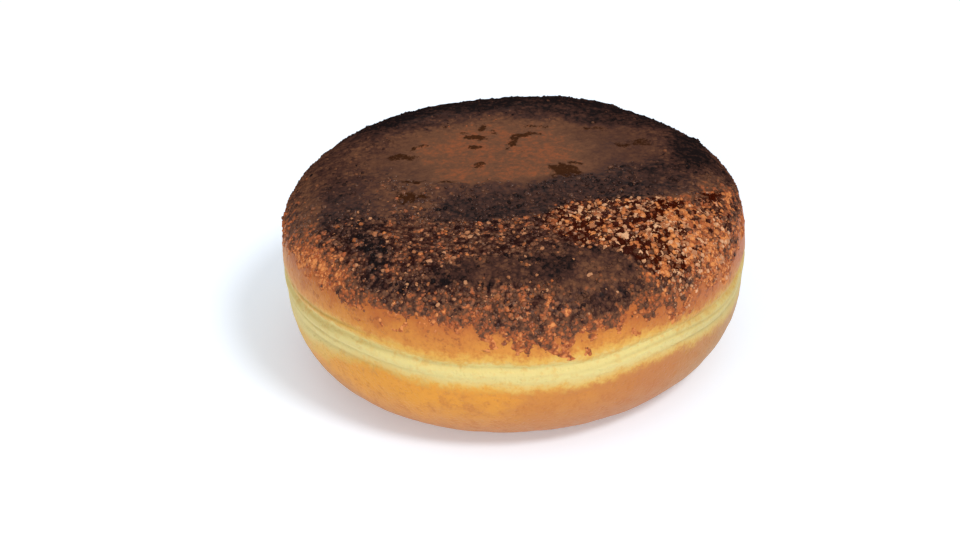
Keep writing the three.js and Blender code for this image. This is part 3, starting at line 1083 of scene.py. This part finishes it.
def grain_piece(name, draws, points, out, size, material):
    """Crystals of uneven shape, sunk in the crust, as one mesh, and how many corners each has."""
    template, faces = crystal_template()
    count = len(points)
    flattened = np.array([1, 1, 0.7])
    unevenness = 0.14
    sunk = 0.1 * size
    shape = draws.uniform(0.7, 1.2, (count, 3)) * size[:, None] * flattened
    jitter = 1 + unevenness * draws.normal(size=(count, len(template), 3))
    local = template[None] * jitter * shape[:, None, :]
    turned = np.einsum("nij,nkj->nki", turned_at_random(draws, out, tilt=0.35), local)
    centres = points - out * sunk[:, None]
    corners = (turned + centres[:, None, :]).reshape(-1, 3)
    first_corners = np.arange(count) * len(template)
    all_faces = (faces[None] + first_corners[:, None, None]).reshape(-1, 3)
    return mesh_piece(name, corners, all_faces.tolist(), material), len(template)


def fused_chance(burn):
    """Grains that burnt with the crust lie where it kept its grain."""
    return 1.3 * (burn.grit - 0.1) * (1 - smooth(burn.edge_share, 0.99, 1.04))


def pale_chance(burn):
    """Pale grains lie mostly on the right of the front slope, with a few all over the front."""
    spot = burn.within([GRITTY], 0.5, 1.4) * (1 - 0.65 * burn.within([FLANK], 0.5, 1.1))
    front = smooth(-burn.y, 8 * MM, 26 * MM) * (1 - smooth(burn.edge_share, 0.82, 0.94))
    spread = (0.3 + 0.9 * burn.clustered) * (1 - burn.pool) * (1 - 0.95 * burn.melted)
    return 0.42 * np.maximum(spot, 0.15 * front) * spread


TRIES_PER_GRAIN = 5  # places drawn for each grain wanted, as most fall where none can lie


class DOUGHNUT_OT_grains(bpy.types.Operator):
    """Add the grains of sugar on the crust"""

    bl_idname = "doughnut.grains"
    bl_label = "Sugar Grains"

    def execute(self, context):
        grains = context.scene.doughnut_grains
        crust = context.scene.doughnut_crust
        sugar = SugarForm(Form(context.scene.doughnut_dough), crust)
        draws = np.random.default_rng(grains.seed)
        tries = TRIES_PER_GRAIN * grains.fused_count
        angle = draws.uniform(-math.pi, math.pi, tries)
        share = 1.03 * np.sqrt(draws.uniform(0, 1, tries))
        points, out, burn = sugar.surface(angle, share)
        luck = draws.uniform(0, 1, tries)
        size = lerp(grains.smallest, grains.largest, draws.uniform(0, 1, tries) ** 2.2)
        size *= (1 - 0.35 * burn.back) * (1 - 0.35 * smooth(burn.edge_share, 0.7, 1.0))
        grittiest = burn.within([GRITTY], 0.8, 1.3)
        size *= 1 + 0.3 * grittiest

        kept = np.flatnonzero(luck < fused_chance(burn))[: grains.fused_count]
        place = (points[kept], out[kept], size[kept])
        material = crust_material("fused_sugar", crust, gloss=0.6, glaze=0.0, gloss_roughness=0.16)
        piece, corners = grain_piece("sugar_grains", draws, *place, material)
        spread = draws.normal(0.0, 0.28, len(kept)) * (0.35 + 0.65 * burn.grit[kept] ** 2)
        burnt = np.clip(burn.level[kept] + spread, 0.05, burn.darkest[kept])
        grit = 0.2 * burn.grit[kept]
        paint(piece, corners, burn=burnt, grit=grit, matt=burn.matt[kept], toasted=burn.toasted[kept])

        kept = np.flatnonzero(luck[::-1] < pale_chance(burn))[: grains.pale_count]
        place = (points[kept], out[kept], size[kept])
        piece, corners = grain_piece("pale_sugar_grains", draws, *place, pale_material(grains))
        piece.data.shade_flat()
        tint = draws.uniform(0, 1, len(kept)) * (0.5 + 0.5 * grittiest[kept])
        paint(piece, corners, tint=tint)
        return {"FINISHED"}


# ---------------------------------------------------------------- the stage


SOFTBOX_PLACE = Vector((0, 0, 1.3))
FILL_PLACE = Vector((-0.4, -1.05, 0.24))
FLOOR_LIGHT = (0.95, 0.96, 1.0, 1)
SKY_LIGHT = (0.9, 0.96, 1.0, 1)


def add_floor(stage):
    """A plain pale floor."""
    half = stage.floor_size / 2
    corners = [(-half, -half, 0), (half, -half, 0), (half, half, 0), (-half, half, 0)]
    mesh = bpy.data.meshes.new("floor")
    mesh.from_pydata(corners, [], [(0, 1, 2, 3)])
    looks = Looks("floor")
    mesh.materials.append(
        looks.finish(
            {
                "Base Color": (*stage.floor, 1),
                "Roughness": 0.9,
                "Specular IOR Level": 0.1,
                "Emission Color": FLOOR_LIGHT,
                "Emission Strength": stage.floor_glow,
            }
        )
    )
    floor = bpy.data.objects.new("floor", mesh)
    bpy.context.scene.collection.objects.link(floor)


def add_light(name, kind, place, strength, **settings):
    """A light at a place, shining on the doughnut."""
    data = bpy.data.lights.new(name, kind)
    data.energy = strength
    for setting, value in settings.items():
        setattr(data, setting, value)
    lamp = bpy.data.objects.new(name, data)
    lamp.location = place
    lamp.rotation_euler = (-place).to_track_quat("-Z", "Y").to_euler()
    bpy.context.scene.collection.objects.link(lamp)


def add_lights(stage):
    """A softbox overhead, a soft main light at the front right and a soft fill at the front."""
    add_light("softbox", "AREA", SOFTBOX_PLACE, stage.softbox, size=1.6)
    across = math.cos(stage.key_elevation)
    place = Vector((
        across * math.cos(stage.key_turn),
        across * math.sin(stage.key_turn),
        math.sin(stage.key_elevation),
    ))
    add_light("key", "SUN", place, stage.key, angle=stage.key_softness)
    add_light("fill", "AREA", FILL_PLACE, stage.fill, size=0.9)


def add_sky(stage):
    """Even, slightly cool light from all round."""
    world = bpy.data.worlds.new("sky")
    bpy.context.scene.world = world
    world.use_nodes = True
    background = world.node_tree.nodes["Background"]
    background.inputs["Color"].default_value = SKY_LIGHT
    background.inputs["Strength"].default_value = stage.sky


def add_camera(stage):
    """A camera that looks down on the doughnut from its front."""
    data = bpy.data.cameras.new("camera")
    data.lens = stage.lens
    data.shift_x = stage.shift_x
    data.shift_y = stage.shift_y
    data.clip_start = 0.01
    camera = bpy.data.objects.new("camera", data)
    back = Vector((0, -math.cos(stage.elevation), math.sin(stage.elevation)))
    aim = Vector((0, 0, stage.aim))
    tilt = Matrix.Rotation(math.pi / 2 - stage.elevation, 4, "X")
    roll = Matrix.Rotation(-stage.roll, 4, "Z")
    camera.matrix_world = Matrix.Translation(aim + back * stage.distance) @ (tilt @ roll)
    bpy.context.scene.collection.objects.link(camera)
    bpy.context.scene.camera = camera


class DOUGHNUT_OT_stage(bpy.types.Operator):
    """Add the floor, the lights and the camera"""

    bl_idname = "doughnut.stage"
    bl_label = "Stage"

    def execute(self, context):
        stage = context.scene.doughnut_stage
        add_floor(stage)
        add_sky(stage)
        add_lights(stage)
        add_camera(stage)
        context.scene.view_settings.view_transform = "Standard"
        return {"FINISHED"}


# ---------------------------------------------------------------- the add-on


class DOUGHNUT_PT_panel(bpy.types.Panel):
    """The doughnut's pieces and their sizes"""

    bl_label = "Burnt Sugar Doughnut"
    bl_idname = "DOUGHNUT_PT_panel"
    bl_space_type = "VIEW_3D"
    bl_region_type = "UI"
    bl_category = "Doughnut"

    def draw(self, context):
        for settings, operator in PANEL_ROWS:
            box = self.layout.box()
            box.operator(operator.bl_idname)
            group = getattr(context.scene, settings)
            for name in group.__annotations__:
                box.prop(group, name)


SETTINGS = {
    "doughnut_stage": StageSettings,
    "doughnut_dough": DoughSettings,
    "doughnut_crust": CrustSettings,
    "doughnut_grains": GrainSettings,
}
OPERATORS = (DOUGHNUT_OT_stage, DOUGHNUT_OT_dough, DOUGHNUT_OT_crust, DOUGHNUT_OT_grains)
PANEL_ROWS = tuple(zip(SETTINGS, OPERATORS))
CLASSES = (*SETTINGS.values(), *OPERATORS, DOUGHNUT_PT_panel)


def register():
    """Registers the settings, the operators and the panel."""
    for cls in CLASSES:
        bpy.utils.register_class(cls)
    for name, cls in SETTINGS.items():
        setattr(bpy.types.Scene, name, PointerProperty(type=cls))


def unregister():
    """Takes out what register put in."""
    for name in SETTINGS:
        delattr(bpy.types.Scene, name)
    for cls in reversed(CLASSES):
        bpy.utils.unregister_class(cls)


def main():
    """Makes the stage and every piece."""
    register()
    bpy.ops.doughnut.stage()
    bpy.ops.doughnut.dough()
    bpy.ops.doughnut.crust()
    bpy.ops.doughnut.grains()


if __name__ == "__main__":
    main()
